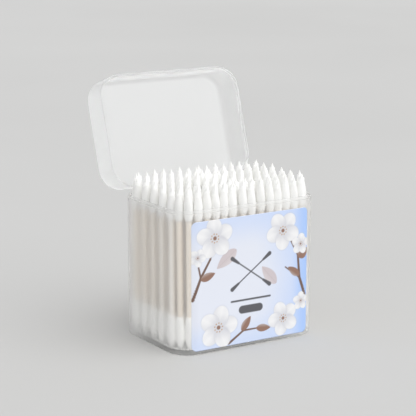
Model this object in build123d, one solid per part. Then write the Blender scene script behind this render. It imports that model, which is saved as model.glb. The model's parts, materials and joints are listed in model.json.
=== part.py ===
from build123d import *
import math
import os
import random

# A hinged box of cotton swabs, in millimetres: a clear moulded tub, its lid on a film hinge at the back,
# a label round the front, and upright rows of two-ended swabs that fill the tub.
# The origin is the centre of the tub's flat underside, +Z is up, and the front is at -Y.

# Swabs: a rolled paper stick with a cotton tip wound on each end
swab_length = 74.0
length_spread = 0.7  # how far a swab may be longer or shorter
stick_diameter = 2.5
head_diameter = 4.2
head_length = 15.0
neck_diameter = 3.0  # cotton where it ends on the stick
cotton_cap = 2.2  # cotton beyond the stick's end
wind_clearance = 0.03  # between the stick and its cotton

upper_nose_radius = 0.55  # the upper tips are pointed
upper_nose_height = 0.3
upper_taper = 6.2
upper_belly = 10.0
lower_nose_radius = 1.3  # the lower tips are rounded like a drop
lower_nose_height = 0.65
lower_taper = 4.6
lower_belly = 6.5

# Tub
tub_width = 76.8
tub_depth = 54.0
corner_radius = 10.8
wall = 1.3
floor_thickness = 2.4
base_edge_radius = 1.2
floor_corner_radius = 0.8
tips_above_rim = 9.4

# Packing of the swabs in the tub
stand_clearance = 0.05  # under a swab
wall_clearance = 0.12  # between a head and the tub's wall
head_clearance = 0.1  # between neighbouring heads
lattice_spread = 0.35  # how far a swab strays from a regular lattice
lean_spread = 0.75  # how far its top strays from above its foot
settle_rounds = 240
settle_spread = 0.4  # early rounds hold the swabs this much further apart, which closes up empty places
pack_seed = 3
swab_count = 200  # or as many as the tub has room for, if that is fewer

# Half-lap joint of tub and lid: a thin neck on the tub inside a thin lip on the lid
neck_height = 1.35
neck_wall = 0.6
lap_clearance = 0.15
seat_clearance = 0.1

# Lid
lid_wall = 1.1
lid_panel = 1.1
lid_headroom = 4.0  # over the longest swab
lid_edge_radius = 3.2
lid_open_angle = 108.0
swing_clearance = 0.25  # between the swabs and the lid's front wall as it swings

# Film hinge: a tapering leaf on the tub and one on the lid, which meet at the hinge line
hinge_length = 46.0
hinge_reach = 2.7  # from the back wall to the hinge line
leaf_root = 1.3
leaf_edge = 0.35
leaf_overlap = 0.3  # of a leaf and the wall that it grows from
hinge_gap = 0.12

# Label
label_thickness = 0.12
glue_thickness = 0.02
label_corner_radius = 2.5
label_side_margin = 6.9
label_foot_margin = 2.0
label_rim_margin = 5.0

# Heights and places that follow from these
tub_height = floor_thickness + swab_length - tips_above_rim
ledge_height = tub_height - neck_height
tallest_tip = floor_thickness + stand_clearance + swab_length + length_spread
lid_foot = ledge_height + seat_clearance
lid_top = tallest_tip + lid_headroom + lid_panel
lip_wall = wall - neck_wall - lap_clearance
hinge_y = tub_depth / 2 + hinge_reach
hinge_z = ledge_height + seat_clearance / 2
hinge_line = Axis((0, hinge_y, hinge_z), (-1, 0, 0))


def rounded_block(inset, bottom, top):
    """An upright block with the tub's outline moved inwards by inset, or outwards if it is negative."""
    outline = RectangleRounded(
        tub_width - 2 * inset,
        tub_depth - 2 * inset,
        corner_radius - inset,
    )
    return Pos(0, 0, bottom) * extrude(outline, top - bottom)


def end_edges(block, axis, place):
    """The edges of the block's first (0) or last (-1) face along an axis."""
    return block.faces().sort_by(axis)[place].edges()


def hinge_leaf(root_low, root_high, edge_low, edge_high):
    """A tapering leaf from the back wall to the hinge line, between two heights at each end."""
    root_y = tub_depth / 2 - leaf_overlap
    edge_y = hinge_y - hinge_gap
    section = Polyline(
        (root_y, root_low),
        (edge_y, edge_low),
        (edge_y, edge_high),
        (root_y, root_high),
        close=True,
    )
    return extrude(Plane.YZ * make_face(section), hinge_length / 2, both=True)


def make_tub():
    body = rounded_block(0, 0, ledge_height)
    body = fillet(end_edges(body, Axis.Z, 0), base_edge_radius)
    body += rounded_block(wall - neck_wall, ledge_height, tub_height)
    pocket = rounded_block(wall, floor_thickness, tub_height + wall)
    pocket = fillet(end_edges(pocket, Axis.Z, 0), floor_corner_radius)
    body -= pocket
    leaf = hinge_leaf(
        ledge_height - leaf_root,
        ledge_height,
        ledge_height - leaf_edge,
        ledge_height,
    )
    leaf -= rounded_block(wall - neck_wall, 0, tub_height)
    return body + leaf


def make_lid():
    """The lid is drawn closed and then swung open about the hinge line."""
    shell = rounded_block(0, lid_foot, lid_top)
    shell = fillet(end_edges(shell, Axis.Z, -1), lid_edge_radius)
    hollow = rounded_block(lid_wall, lid_foot - wall, lid_top - lid_panel)
    hollow = fillet(end_edges(hollow, Axis.Z, -1), lid_edge_radius - lid_panel)
    shell -= hollow
    shell -= rounded_block(lip_wall, lid_foot - wall, tub_height + seat_clearance)
    leaf = hinge_leaf(lid_foot, lid_foot + leaf_root, lid_foot, lid_foot + leaf_edge)
    leaf -= rounded_block(lip_wall, lid_foot - wall, lid_top)
    return (shell + leaf).rotate(hinge_line, lid_open_angle)


def make_label():
    """A thin skin on the tub's outline, cut out by a rounded window across the front."""
    low = label_foot_margin
    high = tub_height - label_rim_margin
    skin = rounded_block(-glue_thickness - label_thickness, low, high)
    skin -= rounded_block(-glue_thickness, low, high)
    window = RectangleRounded(tub_width - 2 * label_side_margin, high - low, label_corner_radius)
    front = Plane.XZ.offset(tub_depth / 2 - corner_radius)
    window = extrude(front * Pos(0, (low + high) / 2) * window, 2 * corner_radius)
    return skin & window


def cotton_tip(nose_radius, nose_height, taper, belly):
    """A cotton tip with its nose at the origin and its neck along +Z, with a blind bore for the stick."""
    head_radius = head_diameter / 2
    neck_radius = neck_diameter / 2
    bore_radius = stick_diameter / 2 + wind_clearance
    outline = Curve() + [
        TangentArc((0, 0), (nose_radius, nose_height), tangent=(1, 0)),
        TangentArc((head_radius, taper), (nose_radius, nose_height), tangent=(0, -1)),
        Line((head_radius, taper), (head_radius, belly)),
        TangentArc((head_radius, belly), (neck_radius, head_length), tangent=(0, 1)),
        Line((neck_radius, head_length), (bore_radius, head_length)),
        Line((bore_radius, head_length), (bore_radius, cotton_cap)),
        Line((bore_radius, cotton_cap), (0, cotton_cap)),
        Line((0, cotton_cap), (0, 0)),
    ]
    return revolve(Plane.XZ * make_face(outline), Axis.Z)


def swing_limit(height):
    """The foremost Y that the lid's front wall leaves free at a height, anywhere in its swing."""
    reach = tub_depth / 2 + hinge_y - lid_wall - swing_clearance
    return hinge_y - math.sqrt(reach**2 - (height - hinge_z) ** 2)


def swab_room(front_limit):
    """The middle, half size and corner radius of the outline that the swabs' centres keep inside."""
    margin = wall + wall_clearance + head_diameter / 2
    front = max(margin - tub_depth / 2, front_limit)
    back = tub_depth / 2 - margin
    middle = complex(0, (front + back) / 2)
    half_size = complex(tub_width / 2 - margin, (back - front) / 2)
    return middle, half_size, corner_radius - margin


def clamp(value, limit):
    return max(-limit, min(limit, value))


def keep_inside(point, room):
    """The nearest place to a point inside a rounded outline, as complex numbers x + yj."""
    middle, half_size, radius = room
    local = point - middle
    core = complex(clamp(local.real, half_size.real - radius), clamp(local.imag, half_size.imag - radius))
    outwards = local - core
    if abs(outwards) > radius:
        outwards *= radius / abs(outwards)
    return middle + core + outwards


def settle(places, room):
    """Pushes crowded swabs apart, and back inside their room, until they stand clear."""
    for remaining in range(settle_rounds, 0, -1):
        crowding = max(0, remaining / settle_rounds - 0.5)
        pitch = head_diameter + head_clearance + settle_spread * crowding
        for i in range(len(places)):
            for j in range(i):
                apart = places[i] - places[j]
                short = pitch - abs(apart)
                if short > 0:
                    push = apart / abs(apart) * short / 2
                    places[i] += push
                    places[j] -= push
        places = [keep_inside(place, room) for place in places]
    return places


def stray(chance, reach):
    """A random step in the plane."""
    return complex(chance.uniform(-reach, reach), chance.uniform(-reach, reach))


def lattice(room):
    """Row number and place of each swab of a staggered lattice that fills the room."""
    middle, half_size, radius = room
    pitch = head_diameter + head_clearance
    columns = int(2 * half_size.real / pitch)
    rows = int(2 * half_size.imag / (pitch * math.sin(math.radians(60))))
    column_pitch = 2 * half_size.real / columns
    row_pitch = 2 * half_size.imag / rows
    found = []
    for row in range(rows + 1):
        shift = row % 2
        for column in range(columns + 1 - shift):
            x = (column + shift / 2) * column_pitch - half_size.real
            y = row * row_pitch - half_size.imag
            place = middle + complex(x, y)
            if abs(place - keep_inside(place, room)) < head_diameter / 4:
                found.append((row, place))
    return found


def thin_out(found, chance):
    """Takes single swabs out of rows, down to the count, and spreads the rest of each row evenly."""
    rows = {}
    for row, place in found:
        rows.setdefault(row, []).append(place)
    order = list(rows)
    chance.shuffle(order)
    for turn in range(len(found) - swab_count):
        places = rows[order[turn % len(order)]]
        first, last = places[0], places.pop()
        gaps = max(1, len(places) - 1)
        places[:] = [first + (last - first) * step / gaps for step in range(len(places))]
    return [(row, place) for row in rows for place in rows[row]]


def stand_swabs():
    """Row number, foot, top and length of each swab, standing close together and leaning a little."""
    chance = random.Random(pack_seed)
    shoulder = swing_limit(tallest_tip - upper_taper) + head_diameter / 2
    nose = swing_limit(tallest_tip) + upper_nose_radius
    foot_room = swab_room(-tub_depth)
    top_room = swab_room(max(shoulder, nose))
    found = thin_out(lattice(top_room), chance)
    rows = [row for row, place in found]
    feet = settle([place + stray(chance, lattice_spread) for row, place in found], foot_room)
    tops = settle([foot + stray(chance, lean_spread) for foot in feet], top_room)
    swabs = []
    for row, foot, top in zip(rows, feet, tops):
        length = swab_length + chance.uniform(-length_spread, length_spread)
        foot_height = floor_thickness + stand_clearance
        low = Vector(foot.real, foot.imag, foot_height)
        high = Vector(top.real, top.imag, foot_height + length)
        swabs.append((row, low, high))
    return swabs


def make_swab_rows():
    """One group of sticks, one of upper tips and one of lower tips for each row, front row first."""
    upper_tip = cotton_tip(upper_nose_radius, upper_nose_height, upper_taper, upper_belly)
    lower_tip = cotton_tip(lower_nose_radius, lower_nose_height, lower_taper, lower_belly)
    groups = {}
    for row, low, high in stand_swabs():
        upwards = Plane(origin=low, z_dir=high - low)
        downwards = Plane(origin=high, z_dir=low - high)
        stick_start = cotton_cap + wind_clearance
        stick_length = (high - low).length - 2 * stick_start
        stick = Pos(0, 0, stick_start) * extrude(Circle(stick_diameter / 2), stick_length)
        number = f"row_{row + 1:02d}"
        groups.setdefault("paper_sticks_" + number, []).append(upwards.location * stick)
        groups.setdefault("lower_tips_" + number, []).append(upwards.location * lower_tip)
        groups.setdefault("upper_tips_" + number, []).append(downwards.location * upper_tip)
    return groups


os.makedirs("parts", exist_ok=True)
export_step(make_tub(), "parts/tub.step")
export_step(make_lid(), "parts/lid.step")
export_step(make_label(), "parts/label.step")
for name, solids in make_swab_rows().items():
    export_step(Compound(solids), f"parts/{name}.step")
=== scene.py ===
import json
import math
import random

import bpy
import numpy as np
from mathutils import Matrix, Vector


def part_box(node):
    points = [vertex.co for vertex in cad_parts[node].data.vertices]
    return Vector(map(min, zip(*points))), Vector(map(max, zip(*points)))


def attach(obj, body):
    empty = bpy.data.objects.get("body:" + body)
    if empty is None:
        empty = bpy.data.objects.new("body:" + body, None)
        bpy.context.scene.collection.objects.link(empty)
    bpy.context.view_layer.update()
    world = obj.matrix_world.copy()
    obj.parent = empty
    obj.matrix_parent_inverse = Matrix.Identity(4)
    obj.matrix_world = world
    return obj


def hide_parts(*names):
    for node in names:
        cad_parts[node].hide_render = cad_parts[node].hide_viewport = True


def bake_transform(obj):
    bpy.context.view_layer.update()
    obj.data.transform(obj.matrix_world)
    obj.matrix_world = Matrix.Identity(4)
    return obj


# The looks of a hinged box of cotton swabs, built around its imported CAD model. Lengths are in
# metres, and MM turns millimetres into them. +Z is up, the front of the box faces -Y, and the
# lid is open behind it.

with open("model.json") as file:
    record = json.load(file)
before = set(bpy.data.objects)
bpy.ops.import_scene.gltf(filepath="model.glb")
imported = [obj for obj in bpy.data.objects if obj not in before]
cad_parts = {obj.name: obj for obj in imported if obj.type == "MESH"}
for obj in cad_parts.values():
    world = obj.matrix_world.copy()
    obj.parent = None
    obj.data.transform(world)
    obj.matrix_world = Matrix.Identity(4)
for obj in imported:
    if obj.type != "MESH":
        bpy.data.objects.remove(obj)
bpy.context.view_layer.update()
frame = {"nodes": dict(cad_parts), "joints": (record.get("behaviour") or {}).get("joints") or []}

MM = 0.001
BOX_BODY = "box"

# Camera, above the box and to its left. Angles are in degrees, and the lens is in millimetres
CAMERA_AZIMUTH = -31.85
CAMERA_ELEVATION = 12.53
CAMERA_DISTANCE = 0.7443
CAMERA_LENS = 138.2
CAMERA_TARGET = Vector((-0.0063, 0.0, 0.0608))

# Light: an even white world, and one wide sun from the front right
WORLD_STRENGTH = 0.72
SUN_AZIMUTH = 25
SUN_ELEVATION = 52
SUN_STRENGTH = 1.75
SUN_SPREAD = 70

# Floor, a hair under the box so that their faces don't share a plane
FLOOR_HALF_SIZE = 4.0
FLOOR_DROP = 0.05 * MM

# Tub outline and label, as in the CAD model
CORNER_RADIUS = 10.8 * MM
LABEL_LIFT = 0.05 * MM
LABEL_THICKNESS = 0.12 * MM
LABEL_CORNER = 2.5 * MM

# The grid of the label's front, fine enough to carry the print, and its steps round a corner
LABEL_CELL = 0.25 * MM
LABEL_CORNER_STEPS = 9

# Swabs, as in the CAD model
STICK_RADIUS = 1.25 * MM
CAP_TO_STICK = 2.23 * MM
HEAD_RADIUS = 2.1 * MM
HEAD_LENGTH = 15.0 * MM
NECK_RADIUS = 1.5 * MM
BORE_RADIUS = 1.28 * MM
BORE_START = 2.2 * MM

# The two kinds of tip: the length over which the nose widens, how sharp the nose is, and the mesh
UPPER_TIP = {"taper": 9.0 * MM, "point": 0.92, "rings": 24, "segments": 28}
LOWER_TIP = {"taper": 5.0 * MM, "point": 0.55, "rings": 15, "segments": 22}
NOSE_CURVE = 1.6
NECK_CURVE = 3
RING_CROWDING = 1.35

# Lumps of wound cotton: how many go round the tip, and their height as a share of its radius
LUMPS = ((1, 0.03), (2, 0.025), (3, 0.02), (5, 0.01), (8, 0.006))
LUMP_STRENGTH = (0.4, 1.0)
LUMP_WINDING = (-4.0, 4.0)

# How much the tips differ from each other
SWAB_SEED = 21
TAPER_SPREAD = (0.92, 1.08)
FULLNESS = (0.98, 1.015)
NOSE_DRIFT = 0.36 * MM
NECK_PINCH = 0.97

# Rolled sticks: their rings, as shares of the length, and how far they are out of round
STICK_SEGMENTS = 18
STICK_RINGS = (0.0, 0.12, 0.3, 0.5, 0.7, 0.88, 1.0)
STICK_FLAT = 0.985

# Film hinge, between two leaves of the CAD model
LEAF_HALF_LENGTH = 23.0 * MM
FILM_THICKNESS = 0.26 * MM
FILM_REACH = 0.75 * MM
FILM_INSET = 0.6 * MM
FILM_BEND_RADIUS = 0.2 * MM
FILM_BEND_STEPS = 7


def srgb(red, green, blue):
    """A colour in Blender's linear values, from the 0 to 255 of a screen."""
    channels = []
    for value in (red, green, blue):
        part = value / 255
        channels.append(part / 12.92 if part <= 0.04045 else ((part + 0.055) / 1.055) ** 2.4)
    return tuple(channels)


# ---------------------------------------------------------------- meshes


def add_mesh(name, vertices, faces):
    """A smooth-shaded object in the scene."""
    mesh = bpy.data.meshes.new(name)
    mesh.from_pydata([tuple(vertex) for vertex in vertices], [], faces)
    mesh.validate()
    mesh.shade_smooth()
    piece = bpy.data.objects.new(name, mesh)
    bpy.context.scene.collection.objects.link(piece)
    return piece


def add_point_values(piece, name, values):
    """One number for each vertex, for the piece's material to read."""
    layer = piece.data.attributes.new(name, "FLOAT", "POINT")
    layer.data.foreach_set("value", np.asarray(values, np.float32))


def ring_faces(rings, segments, start):
    """Quads between rings of vertices that follow each other from a start index."""
    faces = []
    for ring in range(rings - 1):
        low = start + ring * segments
        for step in range(segments):
            after = (step + 1) % segments
            faces.append((low + step, low + after, low + segments + after, low + segments + step))
    return faces


# ---------------------------------------------------------------- swabs


def loose_parts(mesh):
    """The vertex places of each separate part of a mesh."""
    places = np.empty(len(mesh.vertices) * 3)
    mesh.vertices.foreach_get("co", places)
    places = places.reshape(-1, 3)
    leader = list(range(len(places)))

    def lead(vertex):
        while leader[vertex] != vertex:
            leader[vertex] = leader[leader[vertex]]
            vertex = leader[vertex]
        return vertex

    for edge in mesh.edges:
        first, second = edge.vertices
        leader[lead(first)] = lead(second)
    groups = {}
    for vertex in range(len(places)):
        groups.setdefault(lead(vertex), []).append(vertex)
    return [places[members] for members in groups.values()]


def stick_ends(node):
    """The lower and upper end of each stick of a row, from left to right."""
    ends = []
    for part in loose_parts(frame["nodes"][node].data):
        heights = part[:, 2]
        # A part as short as this is no stick
        if np.ptp(heights) < HEAD_LENGTH:
            continue
        middle = (heights.min() + heights.max()) / 2
        low = np.unique(part[heights < middle].round(7), axis=0).mean(0)
        high = np.unique(part[heights > middle].round(7), axis=0).mean(0)
        ends.append((Vector(low), Vector(high)))
    return sorted(ends, key=lambda pair: pair[0].x)


def frame_along(direction):
    """Two directions square to a direction and to each other."""
    side = direction.orthogonal().normalized()
    return side, direction.cross(side)


def angles_round(segments):
    return np.arange(segments) * 2 * math.pi / segments


def sweep(centre, direction, lengths, radii, segments):
    """Rings of vertices round a straight line. radii holds one row of numbers for each ring."""
    side, up = frame_along(direction)
    angles = angles_round(segments)
    around = np.outer(np.cos(angles), side) + np.outer(np.sin(angles), up)
    base = np.asarray(centre) + np.outer(lengths, direction)
    return (base[:, None, :] + radii[:, :, None] * around[None, :, :]).reshape(-1, 3)


def head_radius_at(length, taper, point):
    """The radius of a tip at a length from its nose. A lower point makes a blunter nose."""
    if length < taper:
        return HEAD_RADIUS * (1 - (1 - length / taper) ** NOSE_CURVE) ** point
    down = (length - taper) / (HEAD_LENGTH - taper)
    return HEAD_RADIUS + (NECK_RADIUS - HEAD_RADIUS) * down**NECK_CURVE


def wound_lumps(shares, segments, chance):
    """Low waves that wind round a tip and along it, one row for each ring."""
    angles = angles_round(segments)
    lumps = np.zeros((len(shares), segments))
    for lobes, size in LUMPS:
        winding = chance.uniform(*LUMP_WINDING)
        phase = chance.uniform(0, 2 * math.pi)
        wave = np.sin(lobes * angles[None, :] + winding * shares[:, None] * math.pi + phase)
        lumps += size * chance.uniform(*LUMP_STRENGTH) * wave
    return lumps


def cotton_tip(nose, direction, chance, taper, point, rings, segments):
    """Vertices and faces of one wound tip, with a blind bore for its stick."""
    shares = (np.arange(1, rings + 1) / rings) ** RING_CROWDING
    lengths = shares * HEAD_LENGTH
    taper *= chance.uniform(*TAPER_SPREAD)
    profile = np.array([head_radius_at(length, taper, point) for length in lengths])
    lumps = wound_lumps(shares, segments, chance)
    fullness = chance.uniform(*FULLNESS)
    radii = profile[:, None] * fullness * (1 + lumps)
    radii[-1] = NECK_RADIUS * NECK_PINCH
    inside = np.full((2, segments), BORE_RADIUS)
    vertices = sweep(
        nose,
        direction,
        np.concatenate([lengths, [HEAD_LENGTH, BORE_START]]),
        np.vstack([radii, inside]),
        segments,
    )
    side, up = frame_along(direction)
    drift = side * chance.uniform(-NOSE_DRIFT, NOSE_DRIFT)
    drift += up * chance.uniform(-NOSE_DRIFT, NOSE_DRIFT)
    bend = np.clip(1 - lengths / taper, 0, 1) ** 2
    vertices[: rings * segments] += np.repeat(np.outer(bend, drift), segments, axis=0)
    poles = [nose + drift, nose + direction * BORE_START]
    vertices = np.vstack([vertices, poles])
    total = rings + len(inside)
    faces = ring_faces(total, segments, 0)
    last = (total - 1) * segments
    nose_pole = total * segments
    for step in range(segments):
        after = (step + 1) % segments
        faces.append((nose_pole, after, step))
        faces.append((nose_pole + 1, last + step, last + after))
    return vertices, faces


def paper_stick(low, high):
    """Vertices and faces of a rolled stick, very slightly out of round."""
    direction = (high - low).normalized()
    lengths = np.array(STICK_RINGS) * (high - low).length
    radii = np.full((len(lengths), STICK_SEGMENTS), STICK_RADIUS)
    radii[:, ::3] *= STICK_FLAT
    vertices = sweep(low, direction, lengths, radii, STICK_SEGMENTS)
    faces = ring_faces(len(lengths), STICK_SEGMENTS, 0)
    last = (len(lengths) - 1) * STICK_SEGMENTS
    faces.append(tuple(reversed(range(STICK_SEGMENTS))))
    faces.append(tuple(range(last, last + STICK_SEGMENTS)))
    return vertices, faces


def join_shapes(name, shapes, tones, body, node, material):
    """One piece from several closed shapes, with a tone for each, in place of a CAD node."""
    vertices, faces, shades = [], [], []
    for (points, polygons), tone in zip(shapes, tones):
        start = len(shades)
        vertices.extend(points)
        faces.extend([tuple(start + corner for corner in polygon) for polygon in polygons])
        shades.extend([tone] * len(points))
    piece = add_mesh(name, vertices, faces)
    add_point_values(piece, "tone", shades)
    piece.data.materials.append(material)
    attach(piece, body)
    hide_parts(node)
    return piece


def build_swabs(cotton, paper):
    """The sticks and both kinds of tip of every row, where the CAD model has them."""
    chance = random.Random(SWAB_SEED)
    rows = sorted(name for name in frame["nodes"] if name.startswith("paper_sticks_row_"))
    for sticks_node in rows:
        number = sticks_node.rsplit("_", 1)[1]
        sticks, uppers, lowers = [], [], []
        ends = stick_ends(sticks_node)
        for low, high in ends:
            upwards = (high - low).normalized()
            foot = low - upwards * CAP_TO_STICK
            top = high + upwards * CAP_TO_STICK
            sticks.append(paper_stick(low, high))
            uppers.append(cotton_tip(top, -upwards, chance, **UPPER_TIP))
            lowers.append(cotton_tip(foot, upwards, chance, **LOWER_TIP))
        tones = [chance.random() for _ in ends]
        kinds = (
            ("rolled_sticks_", sticks, sticks_node, "stick_paper", paper),
            ("upper_cotton_", uppers, "upper_tips_row_" + number, "cotton", cotton),
            ("lower_cotton_", lowers, "lower_tips_row_" + number, "cotton", cotton),
        )
        pieces = [
            join_shapes(prefix + number, shapes, tones, BOX_BODY, node, material)
            for prefix, shapes, node, slot, material in kinds
        ]
        # The lower tips block no light, so the foot of the box stays as bright as its haze makes it
        pieces[-1].visible_shadow = False


# ---------------------------------------------------------------- label


def smooth_step(low, high, value):
    """0 below low, 1 above high, and a smooth rise between them."""
    share = np.clip((value - low) / (high - low), 0, 1)
    return share * share * (3 - 2 * share)


class Print:
    """Colours laid over the label one after the other. Places are millimetres from its middle."""

    SOFT = 0.16

    def __init__(self, across, up, ground):
        self.across = across
        self.up = up
        self.colour = np.tile(np.array(ground), (len(across), 1))

    def lay(self, cover, colour):
        """Lays a colour where cover is 1, and lets the print show through below that."""
        cover = np.clip(cover, 0, 1)[:, None]
        self.colour = self.colour * (1 - cover) + np.array(colour) * cover

    def inside(self, distance, soft=SOFT):
        """1 where a signed distance is inside a shape, 0 outside, with a soft edge."""
        return 1 - smooth_step(-soft, soft, distance)

    def turned(self, middle, angle):
        """Coordinates about a middle, turned by an angle."""
        dx = self.across - middle[0]
        dy = self.up - middle[1]
        along = dx * math.cos(angle) + dy * math.sin(angle)
        side = dy * math.cos(angle) - dx * math.sin(angle)
        return along, side

    def from_point(self, middle):
        """Distance to a point."""
        return np.hypot(self.across - middle[0], self.up - middle[1])

    def rod(self, start, end, start_width, end_width):
        """Signed distance to a straight rod with round ends and a changing width."""
        run = (end[0] - start[0], end[1] - start[1])
        dx = self.across - start[0]
        dy = self.up - start[1]
        share = np.clip((dx * run[0] + dy * run[1]) / (run[0] ** 2 + run[1] ** 2), 0, 1)
        width = start_width + (end_width - start_width) * share
        return np.hypot(dx - share * run[0], dy - share * run[1]) - width

    def bar(self, middle, half_length, half_height, radius):
        """Signed distance to a bar with rounded corners."""
        dx = np.abs(self.across - middle[0]) - half_length + radius
        dy = np.abs(self.up - middle[1]) - half_height + radius
        outside = np.hypot(np.maximum(dx, 0), np.maximum(dy, 0))
        return outside + np.minimum(np.maximum(dx, dy), 0) - radius


# Inks, and the parts of the motifs that repeat
WHITE = srgb(246, 246, 247)
SHADE = srgb(186, 188, 200)
TWIG = srgb(118, 92, 80)
LEAF = srgb(150, 116, 100)
PALE_LEAF = srgb(205, 190, 190)
INK = srgb(92, 92, 97)
POLLEN = srgb(196, 158, 122)
PETALS = 5
STAMENS = 9
TWIG_THINNING = 0.6
CROSS_MIDDLE = (0, 3.5)
CROSS_SLANT = 0.62
CROSS_LENGTH = 25


def draw_ground(sheet):
    """Pale lavender, going to a soft blue at the right and along the top and foot."""
    blue = srgb(172, 203, 253)
    light = srgb(205, 221, 252)
    right = smooth_step(4, 33, sheet.across + 0.25 * np.abs(sheet.up))
    sheet.lay(0.75 * smooth_step(14, 31, np.abs(sheet.up)), light)
    sheet.lay(right, light)
    sheet.lay(smooth_step(22, 31, sheet.across), blue)


def draw_leaf(sheet, foot, angle, length, width, colour, strength=1.0):
    """A pointed leaf that grows from its foot, with a vein and one lighter half."""
    along, side = sheet.turned(foot, angle)
    share = np.clip(along / length, 0, 1)
    half_width = width * np.sin(math.pi * share**0.8) ** 0.8
    cover = sheet.inside(np.abs(side) - half_width) * (along > 0) * (along < length)
    sheet.lay(strength * cover, colour)
    vein = sheet.inside(np.abs(side) - 0.05, 0.1) * cover
    sheet.lay(0.35 * strength * vein, TWIG)
    sheet.lay(0.25 * strength * cover * smooth_step(0, width, side), WHITE)


def draw_twig(sheet, points, width):
    """A twig from point to point, thinner towards its end."""
    for index in range(len(points) - 1):
        start_width = width * (1 - TWIG_THINNING * index / len(points))
        end_width = width * (1 - TWIG_THINNING * (index + 1) / len(points))
        gap = sheet.rod(points[index], points[index + 1], start_width, end_width)
        sheet.lay(sheet.inside(gap), TWIG)


def draw_blossom(sheet, middle, radius, turn):
    """A white blossom of rounded petals that overlap, with a soft shadow under each."""
    for number in range(PETALS):
        angle = turn + number * 2 * math.pi / PETALS
        along, side = sheet.turned(middle, angle)
        reach = np.hypot((along - 0.52 * radius) / (0.5 * radius), side / (0.42 * radius))
        sheet.lay(0.45 * (1 - smooth_step(0.85, 1.2, reach)), SHADE)
        cover = 1 - smooth_step(0.97, 1.03, reach)
        sheet.lay(cover, WHITE)
        fold = np.abs(np.sin(7 * np.arctan2(side, along + 0.12 * radius)))
        throat = 1 - smooth_step(0.1, 0.75, along / radius)
        outer = smooth_step(0.1, 0.6, along / radius)
        sheet.lay(cover * (0.5 * throat + 0.1 * fold * outer), SHADE)
        sheet.lay(0.3 * cover * smooth_step(0.1, 0.42, side / radius), SHADE)
    sheet.lay(sheet.inside(sheet.from_point(middle) - 0.1 * radius), LEAF)
    reach = 0.21 * radius
    for number in range(STAMENS):
        angle = turn + number * 2 * math.pi / STAMENS
        dot = (middle[0] + reach * math.cos(angle), middle[1] + reach * math.sin(angle))
        sheet.lay(sheet.inside(sheet.from_point(dot) - 0.035 * radius, 0.1), POLLEN)


def draw_swab_sign(sheet, middle, angle, length):
    """A plain dark swab: a thin stick with a fuller head at each end."""
    reach = (math.cos(angle) * length / 2, math.sin(angle) * length / 2)
    ends = [(middle[0] + side * reach[0], middle[1] + side * reach[1]) for side in (-1, 1)]
    sheet.lay(sheet.inside(sheet.rod(ends[0], ends[1], 0.32, 0.32)), INK)
    for end, side in zip(ends, (-1, 1)):
        neck = (end[0] - side * reach[0] * 0.34, end[1] - side * reach[1] * 0.34)
        sheet.lay(sheet.inside(sheet.rod(neck, end, 0.55, 1.0)), INK)


def label_colours(across, up):
    """The whole print: blossoms on twigs round two crossed swabs. It has no lettering."""
    sheet = Print(across, up, srgb(231, 235, 246))
    draw_ground(sheet)
    draw_leaf(sheet, (-8, 15), -2.5, 13, 3.0, PALE_LEAF, 0.8)
    draw_leaf(sheet, (14, -4), 2.3, 12, 2.8, PALE_LEAF, 0.8)
    draw_twig(sheet, [(-31, -6), (-27, 4), (-22, 12), (-19, 22)], 0.75)
    draw_twig(sheet, [(-27, 4), (-29, 13)], 0.5)
    draw_twig(sheet, [(31, -14), (27, -3), (26, 8), (20, 19)], 0.8)
    draw_twig(sheet, [(27, -3), (19, 3)], 0.45)
    draw_twig(sheet, [(-12, -29), (-4, -24), (3, -24)], 0.6)
    draw_leaf(sheet, (-27, 3), 0.3, 8, 1.9, LEAF)
    draw_leaf(sheet, (26, 7), 0.5, 7, 2.6, LEAF)
    draw_leaf(sheet, (27, -2), 2.5, 8, 1.8, LEAF)
    draw_leaf(sheet, (-5, -24), 0.9, 8, 1.9, LEAF)
    draw_leaf(sheet, (3, -24), -0.1, 8, 1.8, LEAF)
    draw_blossom(sheet, (-19.5, 21.5), 9.5, 0.4)
    draw_blossom(sheet, (-28.5, 13.5), 4.2, 1.1)
    draw_blossom(sheet, (17.5, 20.5), 9.0, 0.9)
    draw_blossom(sheet, (27.5, 13.0), 5.0, 0.2)
    draw_blossom(sheet, (-17.5, -20.5), 10.0, 0.1)
    draw_blossom(sheet, (18.0, -21.5), 8.2, 0.7)
    draw_blossom(sheet, (28.0, -14.5), 4.4, 0.3)
    draw_swab_sign(sheet, CROSS_MIDDLE, CROSS_SLANT, CROSS_LENGTH)
    draw_swab_sign(sheet, CROSS_MIDDLE, math.pi - CROSS_SLANT, CROSS_LENGTH)
    sheet.lay(sheet.inside(sheet.bar((0, -9.5), 11.0, 0.45, 0.45)), INK)
    sheet.lay(sheet.inside(sheet.bar((0, -14.0), 6.6, 1.9, 1.9)), INK)
    return sheet.colour


def outline_place(across, offset, half_width, half_depth):
    """Where a length across the front falls on the tub's outline, moved outwards by offset."""
    flat = half_width - CORNER_RADIUS
    beyond = max(abs(across) - flat, 0.0) / CORNER_RADIUS
    radius = CORNER_RADIUS + offset
    x = min(abs(across), flat) + radius * math.sin(beyond)
    y = CORNER_RADIUS - half_depth - radius * math.cos(beyond)
    return math.copysign(x, across), y


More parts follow.
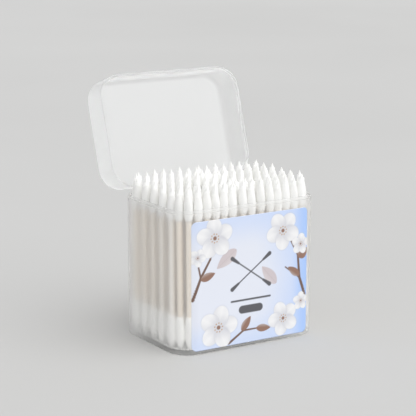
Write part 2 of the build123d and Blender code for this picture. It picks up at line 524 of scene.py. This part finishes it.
def build_label(material):
    """The label, bent round the front corners: a fine front, a plain back and the edge between."""
    tub_low, tub_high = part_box("tub")
    low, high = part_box("label")
    half_width = tub_high.x
    half_depth = -tub_low.y
    flat = half_width - CORNER_RADIUS
    half = flat + CORNER_RADIUS * math.asin((high.x - flat) / (CORNER_RADIUS + LABEL_THICKNESS))
    columns = int(2 * half / LABEL_CELL)
    rows = int((high.z - low.z) / LABEL_CELL)
    turns = np.linspace(-math.pi / 2, math.pi / 2, LABEL_CORNER_STEPS)
    ends = LABEL_CORNER * (np.sin(turns) * 0.5 + 0.5)
    taken = round(LABEL_CORNER / LABEL_CELL)
    between = np.linspace(-half, half, columns)[taken:-taken]
    spread = np.concatenate([-half + ends, between, half - ends[::-1]])
    front, back, across, up = [], [], [], []
    middle = (low.z + high.z) / 2
    half_height = (high.z - low.z) / 2
    for place in spread:
        into_corner = max(abs(place) - (half - LABEL_CORNER), 0.0)
        drop = LABEL_CORNER - math.sqrt(max(LABEL_CORNER**2 - into_corner**2, 0.0))
        heights = np.linspace(drop - half_height, half_height - drop, rows + 1)
        x, y = outline_place(place, LABEL_LIFT + LABEL_THICKNESS, half_width, half_depth)
        front.extend((x, y, middle + height) for height in heights)
        across.extend([place / MM] * (rows + 1))
        up.extend(heights / MM)
        x, y = outline_place(place, LABEL_LIFT, half_width, half_depth)
        back.extend([(x, y, middle + heights[0]), (x, y, middle + heights[-1])])
    faces = []
    behind = len(front)
    tall = rows + 1
    for column in range(len(spread) - 1):
        near = column * tall
        far = near + tall
        for row in range(rows):
            faces.append((near + row, far + row, far + row + 1, near + row + 1))
        foot = behind + 2 * column
        faces.append((foot, foot + 1, foot + 3, foot + 2))
        faces.append((near, foot, foot + 2, far))
        faces.append((near + rows, far + rows, foot + 3, foot + 1))
    last = (len(spread) - 1) * tall
    total = behind + len(back)
    faces.append((*range(tall), behind + 1, behind))
    faces.append((*reversed(range(last, last + tall)), total - 2, total - 1))
    piece = add_mesh("printed_label", front + back, faces)
    colours = label_colours(np.array(across), np.array(up))
    plain = np.tile(np.array(WHITE), (len(back), 1))
    colours = np.hstack([np.vstack([colours, plain]), np.ones((total, 1))])
    layer = piece.data.color_attributes.new("print", "FLOAT_COLOR", "POINT")
    layer.data.foreach_set("color", colours.astype(np.float32).ravel())
    piece.data.materials.append(material)
    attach(piece, BOX_BODY)
    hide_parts("label")
    # The film blocks no light, so the swabs behind it stay bright
    piece.visible_shadow = False


# ---------------------------------------------------------------- hinge film


def build_hinge_film(material):
    """The thin strip that joins the two hinge leaves, bent round the hinge at one angle of the lid.
    """
    hinge = frame["joints"][0]
    centre = Vector(hinge["pos_m"])
    half_length = LEAF_HALF_LENGTH - FILM_INSET
    half_thickness = FILM_THICKNESS / 2
    lid_angle = math.pi - math.radians(-hinge["range_deg"][0])
    tub_side = Vector((0, -1, 0))
    lid_side = Vector((0, math.cos(lid_angle), math.sin(lid_angle)))
    below = Vector((0, 0, -1))
    outer_lid = Vector((0, math.sin(lid_angle), -math.cos(lid_angle)))
    bisector = (tub_side + lid_side).normalized()
    bend_centre = centre + bisector * FILM_BEND_RADIUS
    path = [(centre + tub_side * FILM_REACH, below)]
    for share in np.linspace(0, 1, FILM_BEND_STEPS):
        outwards = (below * (1 - share) + outer_lid * share).normalized()
        path.append((bend_centre + outwards * FILM_BEND_RADIUS, outwards))
    path.append((centre + lid_side * FILM_REACH, outer_lid))
    vertices, faces = [], []
    for x in (-half_length, half_length):
        for place, outwards in path:
            vertices.append(place + outwards * half_thickness + Vector((x, 0, 0)))
        for place, outwards in reversed(path):
            vertices.append(place - outwards * half_thickness + Vector((x, 0, 0)))
    count = 2 * len(path)
    for step in range(count):
        after = (step + 1) % count
        faces.append((step, after, count + after, count + step))
    faces.append(tuple(reversed(range(count))))
    faces.append(tuple(range(count, 2 * count)))
    piece = add_mesh("hinge_film", vertices, faces)
    piece.data.materials.append(material)
    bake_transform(piece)


# ---------------------------------------------------------------- materials


class Nodes:
    """A material's node tree, with short ways to add and join nodes."""

    def __init__(self, name):
        self.material = bpy.data.materials.new(name)
        self.material.use_nodes = True
        self.tree = self.material.node_tree
        self.shader = self.tree.nodes["Principled BSDF"]

    def add(self, kind, **settings):
        node = self.tree.nodes.new(kind)
        for key, value in settings.items():
            setattr(node, key, value)
        return node

    def join(self, output, entry):
        self.tree.links.new(output, entry)

    def set(self, **values):
        """Sets the shader's inputs. An underscore stands for a space."""
        for key, value in values.items():
            self.shader.inputs[key.replace("_", " ")].default_value = value

    def noise(self, scale, detail, stretch=(1, 1, 1)):
        """Noise in object space, scaled per metre."""
        place = self.add("ShaderNodeTexCoord")
        mapping = self.add("ShaderNodeMapping")
        mapping.inputs["Scale"].default_value = stretch
        made = self.add("ShaderNodeTexNoise")
        made.inputs["Scale"].default_value = scale
        made.inputs["Detail"].default_value = detail
        self.join(place.outputs["Object"], mapping.inputs["Vector"])
        self.join(mapping.outputs["Vector"], made.inputs["Vector"])
        return made.outputs["Fac"]

    def ramp(self, value, stops):
        """Colours along a value from 0 to 1, between two stops."""
        made = self.add("ShaderNodeValToRGB")
        for element, (position, colour) in zip(made.color_ramp.elements, stops):
            element.position = position
            element.color = (*colour, 1)
        self.join(value, made.inputs["Fac"])
        return made.outputs["Color"]

    def colour_by_tone(self, low, high):
        """Gives each swab a colour between two, by the tone stored on its vertices."""
        tone = self.add("ShaderNodeAttribute", attribute_name="tone")
        colour = self.ramp(tone.outputs["Fac"], [(0.0, low), (1.0, high)])
        self.join(colour, self.shader.inputs["Base Color"])

    def bump(self, height, distance, strength):
        """Shades the surface as relief of a given depth."""
        made = self.add("ShaderNodeBump")
        made.inputs["Distance"].default_value = distance
        made.inputs["Strength"].default_value = strength
        self.join(height, made.inputs["Height"])
        self.join(made.outputs["Normal"], self.shader.inputs["Normal"])


def cotton_material():
    """Matt white cotton, with fine fibres that run along the swab."""
    nodes = Nodes("wound_cotton")
    nodes.colour_by_tone(srgb(246, 246, 244), srgb(250, 250, 249))
    nodes.set(Roughness=1.0, Sheen_Weight=0.1, Sheen_Roughness=0.5, Specular_IOR_Level=0.1)
    nodes.bump(nodes.noise(2600.0, 6.0, (1, 1, 0.35)), 0.12 * MM, 0.45)
    return nodes.material


def paper_material():
    """Cream paper, each stick in its own tone."""
    nodes = Nodes("rolled_paper")
    nodes.colour_by_tone(srgb(236, 224, 208), srgb(249, 244, 236))
    nodes.set(Roughness=0.7)
    nodes.bump(nodes.noise(900.0, 3.0, (1, 1, 0.2)), 0.04 * MM, 0.6)
    return nodes.material


def clear_plastic_material():
    """Clear polypropylene with a slight haze, and faint upright ripples from the mould."""
    nodes = Nodes("clear_polypropylene")
    nodes.set(Roughness=0.36, IOR=1.3, Transmission_Weight=0.84)
    nodes.set(Base_Color=(0.98, 0.98, 0.975, 1))
    nodes.bump(nodes.noise(60.0, 2.0, (1, 1, 0.15)), 0.2 * MM, 0.08)
    return nodes.material


def frosted_plastic_material():
    """Milky polypropylene with a fine grain."""
    nodes = Nodes("frosted_polypropylene")
    nodes.set(Roughness=0.7, IOR=1.3, Transmission_Weight=0.82)
    nodes.set(Base_Color=(0.95, 0.955, 0.955, 1))
    nodes.bump(nodes.noise(1500.0, 3.0), 0.03 * MM, 0.1)
    return nodes.material


def label_material():
    """Printed film with a low gloss. Its colours are those stored on the label's vertices."""
    nodes = Nodes("printed_film")
    ink = nodes.add("ShaderNodeAttribute", attribute_name="print")
    nodes.join(ink.outputs["Color"], nodes.shader.inputs["Base Color"])
    nodes.set(Roughness=0.42, Coat_Weight=0.15, Coat_Roughness=0.3)
    nodes.bump(nodes.noise(400.0, 2.0), 0.02 * MM, 0.3)
    return nodes.material


def floor_material():
    """A pale grey floor with very faint, wide clouds."""
    nodes = Nodes("pale_floor")
    stops = [(0.3, (0.54, 0.54, 0.535)), (0.7, (0.56, 0.56, 0.555))]
    colour = nodes.ramp(nodes.noise(3.0, 2.0), stops)
    nodes.join(colour, nodes.shader.inputs["Base Color"])
    nodes.set(Roughness=0.9)
    return nodes.material


# ---------------------------------------------------------------- stage


def direction_of(azimuth, elevation):
    """A direction away from the object. Azimuth 0 is the front, and it grows towards +X."""
    turn = math.radians(azimuth)
    rise = math.radians(elevation)
    flat = math.cos(rise)
    return Vector((math.sin(turn) * flat, -math.cos(turn) * flat, math.sin(rise)))


def aim(thing, target):
    """Turns a camera or a light towards a point."""
    thing.rotation_mode = "QUATERNION"
    thing.rotation_quaternion = (target - thing.location).to_track_quat("-Z", "Y")


def add_camera():
    data = bpy.data.cameras.new("camera")
    data.lens = CAMERA_LENS
    data.sensor_width = 36.0
    data.clip_start = 0.01
    data.clip_end = 50.0
    camera = bpy.data.objects.new("camera", data)
    bpy.context.scene.collection.objects.link(camera)
    direction = direction_of(CAMERA_AZIMUTH, CAMERA_ELEVATION)
    camera.location = CAMERA_TARGET + direction * CAMERA_DISTANCE
    aim(camera, CAMERA_TARGET)
    bpy.context.scene.camera = camera


def add_soft_sun(name, azimuth, elevation, strength, spread):
    """A wide soft light, as even over the whole stage as a distant softbox."""
    data = bpy.data.lights.new(name, "SUN")
    data.energy = strength
    data.angle = math.radians(spread)
    light = bpy.data.objects.new(name, data)
    bpy.context.scene.collection.objects.link(light)
    light.location = direction_of(azimuth, elevation)
    aim(light, Vector())


def add_stage():
    """The floor, the world and the light, and how the render handles them."""
    sides = ((-1, -1), (1, -1), (1, 1), (-1, 1))
    corners = [(x * FLOOR_HALF_SIZE, y * FLOOR_HALF_SIZE, -FLOOR_DROP) for x, y in sides]
    floor = add_mesh("floor", corners, [(0, 1, 2, 3)])
    floor.data.materials.append(floor_material())
    world = bpy.data.worlds.new("studio")
    world.use_nodes = True
    background = world.node_tree.nodes["Background"]
    background.inputs["Color"].default_value = (1.0, 1.0, 1.0, 1)
    background.inputs["Strength"].default_value = WORLD_STRENGTH
    scene = bpy.context.scene
    scene.world = world
    add_soft_sun("key", SUN_AZIMUTH, SUN_ELEVATION, SUN_STRENGTH, SUN_SPREAD)
    scene.view_settings.view_transform = "Standard"
    scene.cycles.max_bounces = 24
    scene.cycles.diffuse_bounces = 10
    scene.cycles.transmission_bounces = 16


add_camera()
add_stage()
build_swabs(cotton_material(), paper_material())
build_label(label_material())
clear_plastic = clear_plastic_material()
frosted_plastic = frosted_plastic_material()
build_hinge_film(frosted_plastic)
for node, material in (("tub", clear_plastic), ("lid", frosted_plastic)):
    piece = frame["nodes"][node]
    piece.data.materials.clear()
    piece.data.materials.append(material)
    # The thin walls take no light from the swabs, and don't show in light between surfaces
    piece.visible_shadow = False
    piece.visible_diffuse = False
